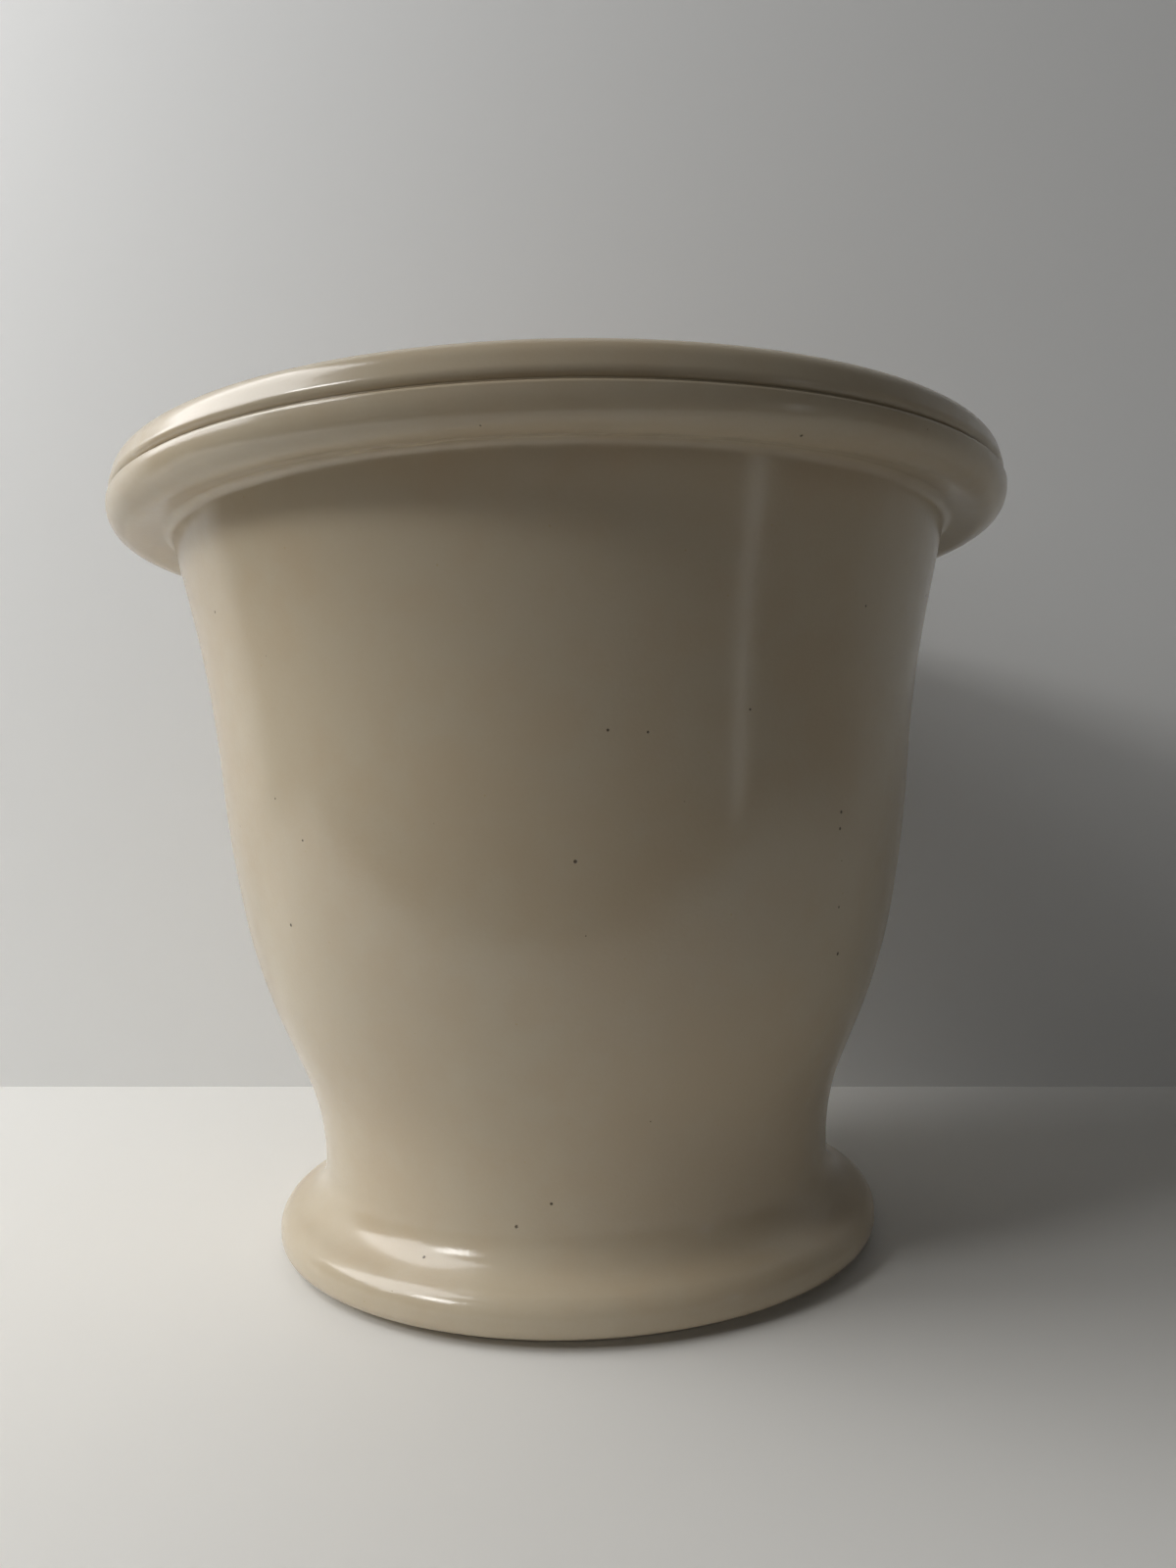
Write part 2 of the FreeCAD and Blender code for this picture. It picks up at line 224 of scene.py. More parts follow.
def makeTurnTree():
    tree, inputs, outputs = makeGroup("Turned shape", "GeometryNodeTree", (
        ("Outline", "NodeSocketGeometry", None),
        ("Segments", "NodeSocketInt", 96),
        ("Ring Depth", "NodeSocketFloat", 0.0),
        ("Ring Height", "NodeSocketFloat", 0.005),
        ("Sway", "NodeSocketFloat", 0.0),
        ("Sway Size", "NodeSocketFloat", 0.06),
        ("Seed", "NodeSocketFloat", 0.0),
        ("Material", "NodeSocketMaterial", None),
    ), (("Turned", "NodeSocketGeometry"),))
    outline = inputs.outputs["Outline"]
    rows = put(tree, "GeometryNodeAttributeDomainSize", {"Geometry": outline}).outputs["Point Count"]
    columns = maths(tree, "ADD", inputs.outputs["Segments"], 1)
    grid = put(tree, "GeometryNodeMeshGrid",
               {"Size X": 1.0, "Size Y": 1.0, "Vertices X": columns, "Vertices Y": rows})
    position = put(tree, "GeometryNodeInputPosition").outputs[0]
    place = put(tree, "ShaderNodeSeparateXYZ", {0: position})
    angle = maths(tree, "MULTIPLY", maths(tree, "ADD", place.outputs["X"], 0.5), math.tau)
    row = maths(tree, "MULTIPLY", maths(tree, "ADD", place.outputs["Y"], 0.5),
                maths(tree, "SUBTRACT", rows, 1))
    row = put(tree, "FunctionNodeFloatToInt", {0: row}, rounding_mode="ROUND").outputs[0]

    def fromOutline(value, kind):
        sample = put(tree, "GeometryNodeSampleIndex", data_type=kind, domain="POINT")
        tree.links.new(outline, sample.inputs["Geometry"])
        tree.links.new(value, sample.inputs["Value"])
        tree.links.new(row, sample.inputs["Index"])
        return sample.outputs["Value"]

    point = put(tree, "ShaderNodeSeparateXYZ", {0: fromOutline(position, "FLOAT_VECTOR")})
    radius, height = point.outputs["X"], point.outputs["Z"]
    turned = put(tree, "ShaderNodeCombineXYZ", {
        "X": maths(tree, "MULTIPLY", radius, maths(tree, "COSINE", angle)),
        "Y": maths(tree, "MULTIPLY", radius, maths(tree, "SINE", angle)),
        "Z": height}).outputs[0]
    shape = grid.outputs["Mesh"]
    for label in ("bare", "edge"):
        value = put(tree, "GeometryNodeInputNamedAttribute", {"Name": label},
                    data_type="FLOAT").outputs[0]
        shape = put(tree, "GeometryNodeStoreNamedAttribute",
                    {"Geometry": shape, "Name": label, "Value": fromOutline(value, "FLOAT")},
                    data_type="FLOAT", domain="POINT").outputs[0]
    shape = put(tree, "GeometryNodeStoreNamedAttribute",
                {"Geometry": shape, "Name": "UVMap", "Value": grid.outputs["UV Map"]},
                data_type="FLOAT2", domain="CORNER").outputs[0]
    shape = put(tree, "GeometryNodeStoreNamedAttribute",
                {"Geometry": shape, "Name": "turned", "Value": turned},
                data_type="FLOAT_VECTOR", domain="POINT").outputs[0]
    shape = put(tree, "GeometryNodeSetPosition", {"Geometry": shape, "Position": turned}).outputs[0]
    shape = put(tree, "GeometryNodeMergeByDistance",
                {"Geometry": shape, "Distance": outlineSizes["weld"] * mm}).outputs[0]

    # marks of the hands and the lathe, only ever cut into the surface
    here = put(tree, "ShaderNodeSeparateXYZ", {0: position})
    flat = put(tree, "ShaderNodeSeparateXYZ", {0: scaled(tree, position, ringDrift)})
    ringPlace = put(tree, "ShaderNodeCombineXYZ", {
        "X": maths(tree, "ADD", flat.outputs["X"], inputs.outputs["Seed"]),
        "Y": flat.outputs["Y"],
        "Z": maths(tree, "DIVIDE", here.outputs["Z"], inputs.outputs["Ring Height"])}).outputs[0]
    rings = maths(tree, "MULTIPLY", noise(tree, ringPlace, 1.0, 1.5), inputs.outputs["Ring Depth"])
    swayScale = maths(tree, "DIVIDE", 1.0, inputs.outputs["Sway Size"])
    swayPlace = vectorMaths(tree, "ADD", position,
                            put(tree, "ShaderNodeCombineXYZ", {"X": inputs.outputs["Seed"]}).outputs[0])
    sway = maths(tree, "MULTIPLY", noise(tree, swayPlace, swayScale, 1.0), inputs.outputs["Sway"])
    depth = maths(tree, "MULTIPLY", maths(tree, "ADD", rings, sway), -1.0)
    offset = scaled(tree, put(tree, "GeometryNodeInputNormal").outputs[0], depth)
    shape = put(tree, "GeometryNodeSetPosition", {"Geometry": shape, "Offset": offset}).outputs[0]
    shape = put(tree, "GeometryNodeSetShadeSmooth", {"Geometry": shape}).outputs[0]
    shape = put(tree, "GeometryNodeRealizeInstances", {"Geometry": shape}).outputs[0]
    shape = put(tree, "GeometryNodeSetMaterial",
                {"Geometry": shape, "Material": inputs.outputs["Material"]}).outputs[0]
    tree.links.new(shape, outputs.inputs[0])
    return tree


def turnPiece(name, corners, material, size, place=None):
    obj = bpy.data.objects.new(name, outlineMesh(name + "Outline", corners))
    bpy.context.scene.collection.objects.link(obj)
    modifier = obj.modifiers.new("turn", "NODES")
    modifier.node_group = turnTree
    sockets = {item.name: item.identifier for item in turnTree.interface.items_tree
               if item.item_type == "SOCKET" and item.in_out == "INPUT"}
    feed = {"Material": material, "Segments": size["segments"], "Seed": size["seed"],
            "Ring Depth": size["ringDepth"] * mm, "Ring Height": size["ringHeight"] * mm,
            "Sway": size["sway"] * mm, "Sway Size": size["swaySize"] * mm}
    for label, value in feed.items():
        modifier[sockets[label]] = value
    graph = bpy.context.evaluated_depsgraph_get()
    mesh = bpy.data.meshes.new_from_object(obj.evaluated_get(graph), preserve_all_data_layers=True,
                                           depsgraph=graph)
    obj.modifiers.remove(modifier)
    obj.data = mesh
    if place:
        mesh.transform(place)
    print(f"{name}: {len(mesh.polygons)} faces")
    return obj


# Mortar: foot ring, rolled foot, waist, bell-shaped body, creased flange and bowl

mortarSizes = {
    "rimRadius": (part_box("mortar_body")[1].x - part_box("mortar_body")[0].x) / 2 / mm,
    "height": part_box("mortar_body")[1].z / mm,
    "ringRadius": 57.2, "ringWidth": 12.0, "ringRound": 0.35, "ringInnerRound": 0.5,
    "recessDepth": 4.5, "recessSlope": 2.5, "recessRound": 1.5,
    "footGap": 1.5, "gapRound": 0.2, "footBare": 0.3,
    "footRadius": 61.4, "footHeight": 7.6, "footShoulder": 4.4, "footEdge": 2.0,
    "waistRadius": 52.2, "coveHeight": 11.2, "coveRound": 7.5,
    "stemHeight": 27.4, "stemRound": 46.5,
    "neckRadius": 78.6, "neckDrop": 11.8, "neckRound": 1.6,
    "bodyRadius": 77.7, "bodyDrop": 17.4,     # top of the straight line that the stations bulge from
    "stations": ((0.262, 5.7, 115.0), (0.503, 4.2, 236.0), (0.766, 0.0, 236.0)),
    "undersideDrop": 14.4, "rimRound": 4.8, "bandDrop": 7.2, "bandRound": 0.7,
    "creaseDrop": 6.75, "creaseDepth": 1.2, "creaseRound": 0.05,
    "lipSetback": 0.15, "lipDrop": 6.5, "lipTurn": 1.6, "lipTaper": 1.7, "lipRound": 4.2,
    "rimWidth": 20.0, "mouthRound": 3.5, "bowlBase": 52.0, "bowlRound": 56.0, "bowlFloor": 26.0,
    "segments": 230, "ringDepth": 0.06, "ringHeight": 5.0, "sway": 0.12, "swaySize": 70.0,
    "seed": 3.0,
}


def mortarCorners():
    size = mortarSizes
    rim, height = size["rimRadius"], size["height"]
    lip = rim - size["lipSetback"]
    ring, waist, stem = size["ringRadius"], size["waistRadius"], size["stemHeight"]
    bodyTop = height - size["bodyDrop"]
    stations = [(waist + share * (size["bodyRadius"] - waist) + bulge,
                 stem + share * (bodyTop - stem), rounding, 0.0)
                for share, bulge, rounding in size["stations"]]
    return [
        (0.0, size["recessDepth"], 0.0, 1.0),
        (ring - size["ringWidth"] - size["recessSlope"], size["recessDepth"], size["recessRound"], 1.0),
        (ring - size["ringWidth"], 0.0, size["ringInnerRound"], 1.0),
        (ring, 0.0, size["ringRound"], 1.0),
        (ring, size["footGap"], size["gapRound"], 1.0),
        (size["footRadius"], size["footGap"], size["footEdge"], size["footBare"]),
        (size["footRadius"], size["footHeight"], size["footShoulder"], 0.0),
        (waist, size["coveHeight"], size["coveRound"], 0.0),
        (waist, stem, size["stemRound"], 0.0),
        *stations,
        (size["neckRadius"], height - size["neckDrop"], size["neckRound"], 0.0),
        (rim, height - size["undersideDrop"], size["rimRound"], 0.0),
        (rim, height - size["bandDrop"], size["bandRound"], 0.0),
        (lip - size["creaseDepth"], height - size["creaseDrop"], size["creaseRound"], 0.0),
        (lip, height - size["lipDrop"], size["lipTurn"], 0.0),
        (lip - size["lipTaper"], height, size["lipRound"], 0.0),
        (rim - size["rimWidth"], height, size["mouthRound"], 0.0),
        (size["bowlBase"], size["bowlFloor"], size["bowlRound"], 1.0),
        (0.0, size["bowlFloor"], 0.0, 1.0),
    ]


def makeMortar():
    mortar = turnPiece("mortar", mortarCorners(), glazeMaterial, mortarSizes)
    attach(mortar, "mortar")
    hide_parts("mortar_body")


# Pestle: both of its turned pieces share one leaning axis, read from the frame

def surfaceMiddle(obj):
    total, area = Vector(), 0.0
    for face in obj.data.polygons:
        total += face.center * face.area
        area += face.area
    return total / area


def pestlePlace():
    head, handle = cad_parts["pestle_head"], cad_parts["pestle_handle"]
    start = surfaceMiddle(head)
    axis = (surfaceMiddle(handle) - start).normalized()
    side = (Vector((1, 0, 0)) - axis * axis.x).normalized()
    lowest = min((vertex.co - start).dot(axis) for vertex in head.data.vertices)
    turn = Matrix((side, axis.cross(side), axis)).transposed()
    return Matrix.Translation(start + axis * lowest) @ turn.to_4x4()


socketSizes = {
    "radius": 8.0, "depth": 25.0, "cement": 0.8, "bed": 0.9,
    "keyRadius": 0.6, "keyRound": 0.2, "keyDepth": 5.0, "keyPitch": 7.0, "keys": 3,
}

headSizes = {
    "length": 71.0, "domeCorner": 12.5, "domeRound": 25.2,
    "edgeHeight": 8.6, "edgeRound": 8.0, "edgeWorn": 0.8,
    "radius": 24.0, "cheekHeight": 24.0, "cheekRound": 54.0, "cheekWorn": 0.15,
    "throatRadius": 12.2, "throatDrop": 19.0, "throatRound": 35.0,
    "collarRadius": 15.2, "collarBand": 9.0,
    "collarFootRound": 1.0, "collarLowerRound": 1.9, "collarTopRound": 3.0, "socketRound": 0.3,
    "segments": 160, "ringDepth": 0.05, "ringHeight": 2.0, "sway": 0.15, "swaySize": 25.0,
    "seed": 11.0,
}

handleSizes = {
    "shoulderRadius": 11.4, "shoulderHeight": 5.0, "quirkRadius": 9.6, "quirkHeight": 6.6,
    "beadRadius": 11.0, "beadHeight": 9.2, "waistRadius": 8.6, "waistHeight": 33.0,
    "gripRound": 60.0, "knobRadius": 15.6, "knobHeight": 82.0,
    "crownRadius": 14.2, "crownRound": 12.5, "length": 112.0,
    "turnedRound": 0.8, "beadRound": 2.2, "waistWorn": 0.3,
    "segments": 128, "ringDepth": 0.04, "ringHeight": 1.5, "sway": 0.12, "swaySize": 18.0,
    "seed": 23.0,
}


def keyCorners(radius, top, inSocket):
    # grooves that hold the cement: the path meets them going down the socket and up the tenon
    half, rounding = socketSizes["keyRadius"], socketSizes["keyRound"]
    reach = radius + (half if inSocket else -half)
    corners = []
    for key in range(socketSizes["keys"]):
        middle = top - key * socketSizes["keyPitch"]
        corners += [(radius, middle + half, 0.0, 0.0), (reach, middle + half, rounding, 0.0),
                    (reach, middle - half, rounding, 0.0), (radius, middle - half, 0.0, 0.0)]
    return corners if inSocket else corners[::-1]


def makeHead():
    size, socket = headSizes, socketSizes
    top = size["length"]
    collar = top - size["collarBand"]
    corners = [
        (0.0, 0.0, 0.0, 1.0),
        (size["domeCorner"], 0.0, size["domeRound"], 1.0),
        (size["radius"], size["edgeHeight"], size["edgeRound"], size["edgeWorn"]),
        (size["radius"], size["cheekHeight"], size["cheekRound"], size["cheekWorn"]),
        (size["throatRadius"], top - size["throatDrop"], size["throatRound"], 0.0),
        (size["throatRadius"], collar, size["collarFootRound"], 0.0),
        (size["collarRadius"], collar, size["collarLowerRound"], 0.0),
        (size["collarRadius"], top, size["collarTopRound"], 0.0),
        (socket["radius"], top, size["socketRound"], 0.0),
        *keyCorners(socket["radius"], top - socket["keyDepth"], True),
        (socket["radius"], top - socket["depth"], 0.0, 0.0),
        (0.0, top - socket["depth"], 0.0, 0.0),
    ]
    head = turnPiece("pestleHead", corners, headMaterial, size, pestleFrame)
    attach(head, "pestle")
    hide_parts("pestle_head")


def makeHandle():
    size, socket = handleSizes, socketSizes
    collar = headSizes["length"]
    foot = collar + socket["bed"]
    tenon = socket["radius"] - socket["cement"]
    tenonEnd = collar - socket["depth"] + socket["cement"]
    firstKey = collar - socket["keyDepth"] - socket["keyPitch"] / 2
    turned = size["turnedRound"]
    corners = [
        (0.0, tenonEnd, 0.0, 0.0),
        (tenon, tenonEnd, turned, 0.0),
        *keyCorners(tenon, firstKey, False),
        (tenon, foot, 0.0, 0.0),
        (size["shoulderRadius"], foot, turned, 0.0),
        (size["shoulderRadius"], foot + size["shoulderHeight"], turned, 0.0),
        (size["quirkRadius"], foot + size["quirkHeight"], turned, 0.0),
        (size["beadRadius"], foot + size["beadHeight"], size["beadRound"], 0.0),
        (size["waistRadius"], foot + size["waistHeight"], size["gripRound"], size["waistWorn"]),
        (size["knobRadius"], foot + size["knobHeight"], size["gripRound"], 1.0),
        (size["crownRadius"], foot + size["length"], size["crownRound"], 1.0),
        (0.0, foot + size["length"], 0.0, 1.0),
    ]
    handle = turnPiece("pestleHandle", corners, woodMaterial, size, pestleFrame)
    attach(handle, "pestle")
    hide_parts("pestle_handle")


# Shared effects, as shader groups

def makeSpeckGroup():
    # scattered round specks: mask is 1 in a speck, and Density is the share of cells with one
    tree, inputs, outputs = makeGroup("Specks", "ShaderNodeTree", (
        ("Place", "NodeSocketVector", None),
        ("Spacing", "NodeSocketFloat", 0.01),
        ("Radius", "NodeSocketFloat", 0.0003),
        ("Density", "NodeSocketFloat", 0.3),
    ), (("Mask", "NodeSocketFloat"),))
    smallest, spread, core = 0.4, 0.9, 0.6      # shares of the radius
    scale = maths(tree, "DIVIDE", 1.0, inputs.outputs["Spacing"])
    cells = put(tree, "ShaderNodeTexVoronoi", {"Vector": inputs.outputs["Place"], "Scale": scale})
    picked = put(tree, "ShaderNodeSeparateColor", {0: cells.outputs["Color"]})
    isPicked = maths(tree, "LESS_THAN", picked.outputs["Red"], inputs.outputs["Density"])
    radius = maths(tree, "MULTIPLY", maths(tree, "DIVIDE", inputs.outputs["Radius"],
                                            inputs.outputs["Spacing"]),
                   maths(tree, "MULTIPLY_ADD", picked.outputs["Green"], spread, smallest))
    spot = stretch(tree, cells.outputs["Distance"], radius, maths(tree, "MULTIPLY", radius, core))
    mask = maths(tree, "MULTIPLY", spot, isPicked)
    tree.links.new(mask, outputs.inputs["Mask"])
    return tree


def makeEdgeGroup():
    # the outline's edges, broken up so that wear comes and goes along them
    tree, inputs, outputs = makeGroup("Edge wear", "ShaderNodeTree", (
        ("Place", "NodeSocketVector", None),
        ("Edge", "NodeSocketFloat", 0.0),
        ("Patch Size", "NodeSocketFloat", 0.01),
        ("Amount", "NodeSocketFloat", 0.5),
    ), (("Mask", "NodeSocketFloat"),))
    start, full = 0.75, 0.8      # the patch noise where wear starts at no Amount, and where it is full
    patches = noise(tree, inputs.outputs["Place"],
                    maths(tree, "DIVIDE", 1.0, inputs.outputs["Patch Size"]), 5.0, 0.65)
    value = maths(tree, "MULTIPLY", inputs.outputs["Edge"],
                  stretch(tree, patches, maths(tree, "SUBTRACT", start, inputs.outputs["Amount"]), full))
    tree.links.new(value, outputs.inputs["Mask"])
    return tree


def makeMottleGroup():
    # slow change of tone, from -1 to 1, in clouds of two sizes
    tree, inputs, outputs = makeGroup("Mottle", "ShaderNodeTree", (
        ("Place", "NodeSocketVector", None),
        ("Size", "NodeSocketFloat", 0.04),
    ), (("Tone", "NodeSocketFloat"),))
    finer, fineShare, wideShare = 6.0, 0.4, 0.6
    scale = maths(tree, "DIVIDE", 1.0, inputs.outputs["Size"])
    wide = noise(tree, inputs.outputs["Place"], scale, 2.0)
    fine = noise(tree, inputs.outputs["Place"], maths(tree, "MULTIPLY", scale, finer), 4.0, 0.6)
    both = maths(tree, "MULTIPLY_ADD", fine, fineShare, maths(tree, "MULTIPLY", wide, wideShare))
    tree.links.new(stretch(tree, both, 0.3, 0.7, -1.0, 1.0), outputs.inputs["Tone"])
    return tree


def specks(tree, place, look):
    # spacing and radius in millimetres, then the share of cells with a speck
    spacing, radius, density = look
    return feedGroup(tree, speckGroup, {"Place": place, "Spacing": spacing * mm,
                                        "Radius": radius * mm, "Density": density})


def edgeWear(tree, place, look):
    return feedGroup(tree, edgeGroup, {"Place": place, "Edge": attribute(tree, "edge"),
                                       "Patch Size": look["wearPatch"] * mm,
                                       "Amount": look["wearAmount"]})


def mottle(tree, place, look):
    return feedGroup(tree, mottleGroup, {"Place": place, "Size": look["mottleSize"] * mm})


def objectPlace(tree):
    return put(tree, "ShaderNodeTexCoord").outputs["Object"]


def turnedPlace(tree):
    return put(tree, "ShaderNodeAttribute", attribute_name="turned").outputs["Vector"]


def attribute(tree, name):
    return put(tree, "ShaderNodeAttribute", attribute_name=name).outputs["Fac"]


def bump(tree, height, depth, normal=None):
    feed = {"Height": height, "Distance": depth * mm, "Strength": 1.0}
    if normal is not None:
        feed["Normal"] = normal
    return put(tree, "ShaderNodeBump", feed).outputs[0]


glazeLook = {
    "cream": (0.560, 0.478, 0.350, 1.0), "creamDeep": (0.545, 0.445, 0.312, 1.0), "mottleSize": 45.0,
    "thinGlaze": (0.50, 0.38, 0.22, 1.0), "grainSize": 0.7, "grainShare": 0.06,
    "wearPatch": 12.0, "wearAmount": 0.35, "wearShare": 0.30,
    # the pinholes' near-black colour is painted shade inside the pits
    "pinholes": (5.6, 0.33, 0.42), "pinholeShade": (0.055, 0.035, 0.02, 1.0),
    "pinholeShare": 0.85, "pinholeDepth": 0.15,
    "flecks": (3.5, 0.20, 0.40), "fleckShare": 0.55,
    "fleckShift": (0.3, 0.1, 0.7),      # keeps the flecks' pattern off the pinholes'
    "bareClay": (0.62, 0.54, 0.42, 1.0), "palerClay": (0.70, 0.62, 0.50, 1.0),
    "clayScale": 900.0, "clayDepth": 0.06,
    "raggedScale": 260.0, "ragged": 0.07, "bareStart": 0.60, "bareFull": 0.68, "bareRoughness": 0.72,
    "gloss": 0.155, "glossSpread": 0.05, "glossScale": 70.0, "refraction": 1.55,
    "peelSize": 0.6, "peelDepth": 0.016,
}


def makeGlazeMaterial():
    look = glazeLook
    material, tree, shader = newMaterial("creamGlaze")
    place = objectPlace(tree)
    tone = mottle(tree, place, look)
    colour = blendColour(tree, stretch(tree, tone, -1.0, 1.0), look["cream"], look["creamDeep"])
    grain = stretch(tree, noise(tree, place, 1.0 / (look["grainSize"] * mm), 3.0, 0.7), 0.3, 0.7,
                    0.0, look["grainShare"])
    colour = blendColour(tree, grain, colour, look["thinGlaze"])
    wear = maths(tree, "MULTIPLY", edgeWear(tree, place, look), look["wearShare"])
    colour = blendColour(tree, wear, colour, look["thinGlaze"])
    pinholes = specks(tree, place, look["pinholes"])
    flecks = specks(tree, vectorMaths(tree, "ADD", place, look["fleckShift"]), look["flecks"])
    colour = blendColour(tree, maths(tree, "MULTIPLY", flecks, look["fleckShare"]),
                         colour, look["thinGlaze"])
    # pinholes painted near black: painted shade inside the pits, which the bump below also cuts in
    colour = blendColour(tree, maths(tree, "MULTIPLY", pinholes, look["pinholeShare"]),
                         colour, look["pinholeShade"])
    clay = noise(tree, place, look["clayScale"], 4.0, 0.7)
    bareColour = blendColour(tree, stretch(tree, clay, 0.35, 0.7), look["bareClay"], look["palerClay"])
    uneven = maths(tree, "SUBTRACT", noise(tree, place, look["raggedScale"], 5.0, 0.6), 0.5)
    bare = stretch(tree, maths(tree, "MULTIPLY_ADD", uneven, look["ragged"], attribute(tree, "bare")),
                   look["bareStart"], look["bareFull"])
    colour = blendColour(tree, bare, colour, bareColour)
    tree.links.new(colour, shader.inputs["Base Color"])
    roughness = maths(tree, "MULTIPLY_ADD", noise(tree, place, look["glossScale"], 3.0),
                      look["glossSpread"], look["gloss"])
    roughness = maths(tree, "MULTIPLY_ADD", bare,
                      maths(tree, "SUBTRACT", look["bareRoughness"], roughness), roughness)
    tree.links.new(roughness, shader.inputs["Roughness"])
    shader.inputs["IOR"].default_value = look["refraction"]
    peel = noise(tree, place, 1.0 / (look["peelSize"] * mm), 1.0, 0.4)
    relief = bump(tree, peel, look["peelDepth"])
    relief = bump(tree, maths(tree, "MULTIPLY", pinholes, -1.0), look["pinholeDepth"], relief)
    relief = bump(tree, maths(tree, "MULTIPLY", clay, bare), look["clayDepth"], relief)
    tree.links.new(relief, shader.inputs["Normal"])
    return material


headLook = {
    "stone": (0.72, 0.66, 0.55, 1.0), "sand": (0.50, 0.43, 0.33, 1.0),
    "mottleSize": 20.0, "sandShare": 0.25, "grit": (2.2, 0.22, 0.3), "gritShare": 0.5,
    "worn": (0.79, 0.76, 0.70, 1.0), "wornShare": 0.75,
    "wornScale": 130.0, "wornUneven": 0.35, "wornStart": 0.55, "wornFull": 1.05,
    "scratchScale": (400.0, 2600.0, 2600.0), "scratchDepth": 0.03,
    "grainScale": 1400.0, "grainDepth": 0.05,
    "roughness": 0.62, "wornRoughness": 0.38,
}


def makeHeadMaterial():
    look = headLook
    material, tree, shader = newMaterial("pestleStoneware")
    place = turnedPlace(tree)
    sandy = stretch(tree, mottle(tree, place, look), -1.0, 1.0, 0.0, look["sandShare"])
    colour = blendColour(tree, sandy, look["stone"], look["sand"])
    grit = maths(tree, "MULTIPLY", specks(tree, place, look["grit"]), look["gritShare"])
    colour = blendColour(tree, grit, colour, look["sand"])
    scratches = noise(tree, vectorMaths(tree, "MULTIPLY", place, look["scratchScale"]), 1.0, 3.0)
    worn = stretch(tree, maths(tree, "MULTIPLY_ADD", noise(tree, place, look["wornScale"], 4.0),
                               look["wornUneven"], attribute(tree, "bare")),
                   look["wornStart"], look["wornFull"])
    colour = blendColour(tree, maths(tree, "MULTIPLY", worn, look["wornShare"]), colour, look["worn"])
    tree.links.new(colour, shader.inputs["Base Color"])
    roughness = stretch(tree, worn, 0.0, 1.0, look["roughness"], look["wornRoughness"])
    tree.links.new(roughness, shader.inputs["Roughness"])
    relief = bump(tree, noise(tree, place, look["grainScale"], 4.0, 0.6), look["grainDepth"])
    relief = bump(tree, maths(tree, "MULTIPLY", scratches, worn), look["scratchDepth"], relief)
    tree.links.new(relief, shader.inputs["Normal"])
    return material


woodLook = {
    "light": (0.46, 0.235, 0.105, 1.0), "dark": (0.25, 0.105, 0.040, 1.0),
    "pith": (-0.022, 0.009, 0.0), "ringSpacing": 2.4, "ringShare": 0.55,
    "bendScale": (40.0, 40.0, 9.0), "bend": 6.0,
    "fibreScale": (2600.0, 2600.0, 90.0), "fibreShare": 0.55, "fibreGloss": 0.14, "fibreDepth": 0.02,
    "pore": (0.10, 0.045, 0.02, 1.0), "poreScale": (3600.0, 3600.0, 260.0),
    "poreStart": 0.66, "poreFull": 0.74, "poreShare": 0.7, "poreDepth": 0.05,
    "mottleSize": 30.0, "handledShare": 0.22,
    "wearPatch": 6.0, "wearAmount": 0.4, "wearShare": 0.45,
    "roughness": 0.38,
}

waveRepeat = math.tau / 20      # length of one wave of a wave texture at scale 1


def makeWoodMaterial():
    look = woodLook
    material, tree, shader = newMaterial("handleWood")
    place = turnedPlace(tree)
    bend = vectorMaths(tree, "MULTIPLY", place, look["bendScale"])
    sway = vectorMaths(tree, "SUBTRACT",
                       put(tree, "ShaderNodeTexNoise", {"Vector": bend, "Scale": 1.0}).outputs["Color"],
                       (0.5, 0.5, 0.5))
    blank = vectorMaths(tree, "ADD", vectorMaths(tree, "SUBTRACT", place, look["pith"]),
                        scaled(tree, sway, look["bend"] * mm))
    rings = put(tree, "ShaderNodeTexWave",
                {"Vector": blank, "Scale": waveRepeat / (look["ringSpacing"] * mm),
                 "Distortion": 1.2, "Detail": 3.0, "Detail Scale": 0.4},
                wave_type="RINGS", rings_direction="Z", wave_profile="SAW").outputs[1]
    fibre = noise(tree, vectorMaths(tree, "MULTIPLY", place, look["fibreScale"]), 1.0, 3.0, 0.6)
    pores = noise(tree, vectorMaths(tree, "MULTIPLY", place, look["poreScale"]), 1.0, 1.0)
    tone = maths(tree, "MULTIPLY_ADD", fibre, look["fibreShare"],
                 maths(tree, "MULTIPLY", rings, look["ringShare"]))
    colour = blendColour(tree, stretch(tree, tone, 0.15, 0.95), look["light"], look["dark"])
    poreMask = stretch(tree, pores, look["poreStart"], look["poreFull"])
    colour = blendColour(tree, maths(tree, "MULTIPLY", poreMask, look["poreShare"]), colour, look["pore"])
    handled = stretch(tree, mottle(tree, place, look), -1.0, 1.0, 0.0, look["handledShare"])
    colour = blendColour(tree, handled, colour, look["dark"])
    wear = maths(tree, "MULTIPLY", edgeWear(tree, place, look), look["wearShare"])
    colour = blendColour(tree, wear, colour, look["light"])
    tree.links.new(colour, shader.inputs["Base Color"])
    roughness = maths(tree, "MULTIPLY_ADD", fibre, look["fibreGloss"],
                      look["roughness"] - look["fibreGloss"] / 2)
    tree.links.new(roughness, shader.inputs["Roughness"])
    relief = bump(tree, fibre, look["fibreDepth"])
    relief = bump(tree, maths(tree, "MULTIPLY", poreMask, -1.0), look["poreDepth"], relief)
    tree.links.new(relief, shader.inputs["Normal"])
    return material


cementLook = {
    "dark": (0.25, 0.20, 0.15, 1.0), "pale": (0.42, 0.35, 0.26, 1.0), "mottleSize": 5.0,
    "sand": (0.60, 0.54, 0.44, 1.0), "grit": (1.1, 0.22, 0.4), "gritShare": 0.6,
    "smoothest": 0.65, "roughest": 0.9,
    "grainScale": 2200.0, "grainDepth": 0.12,
}


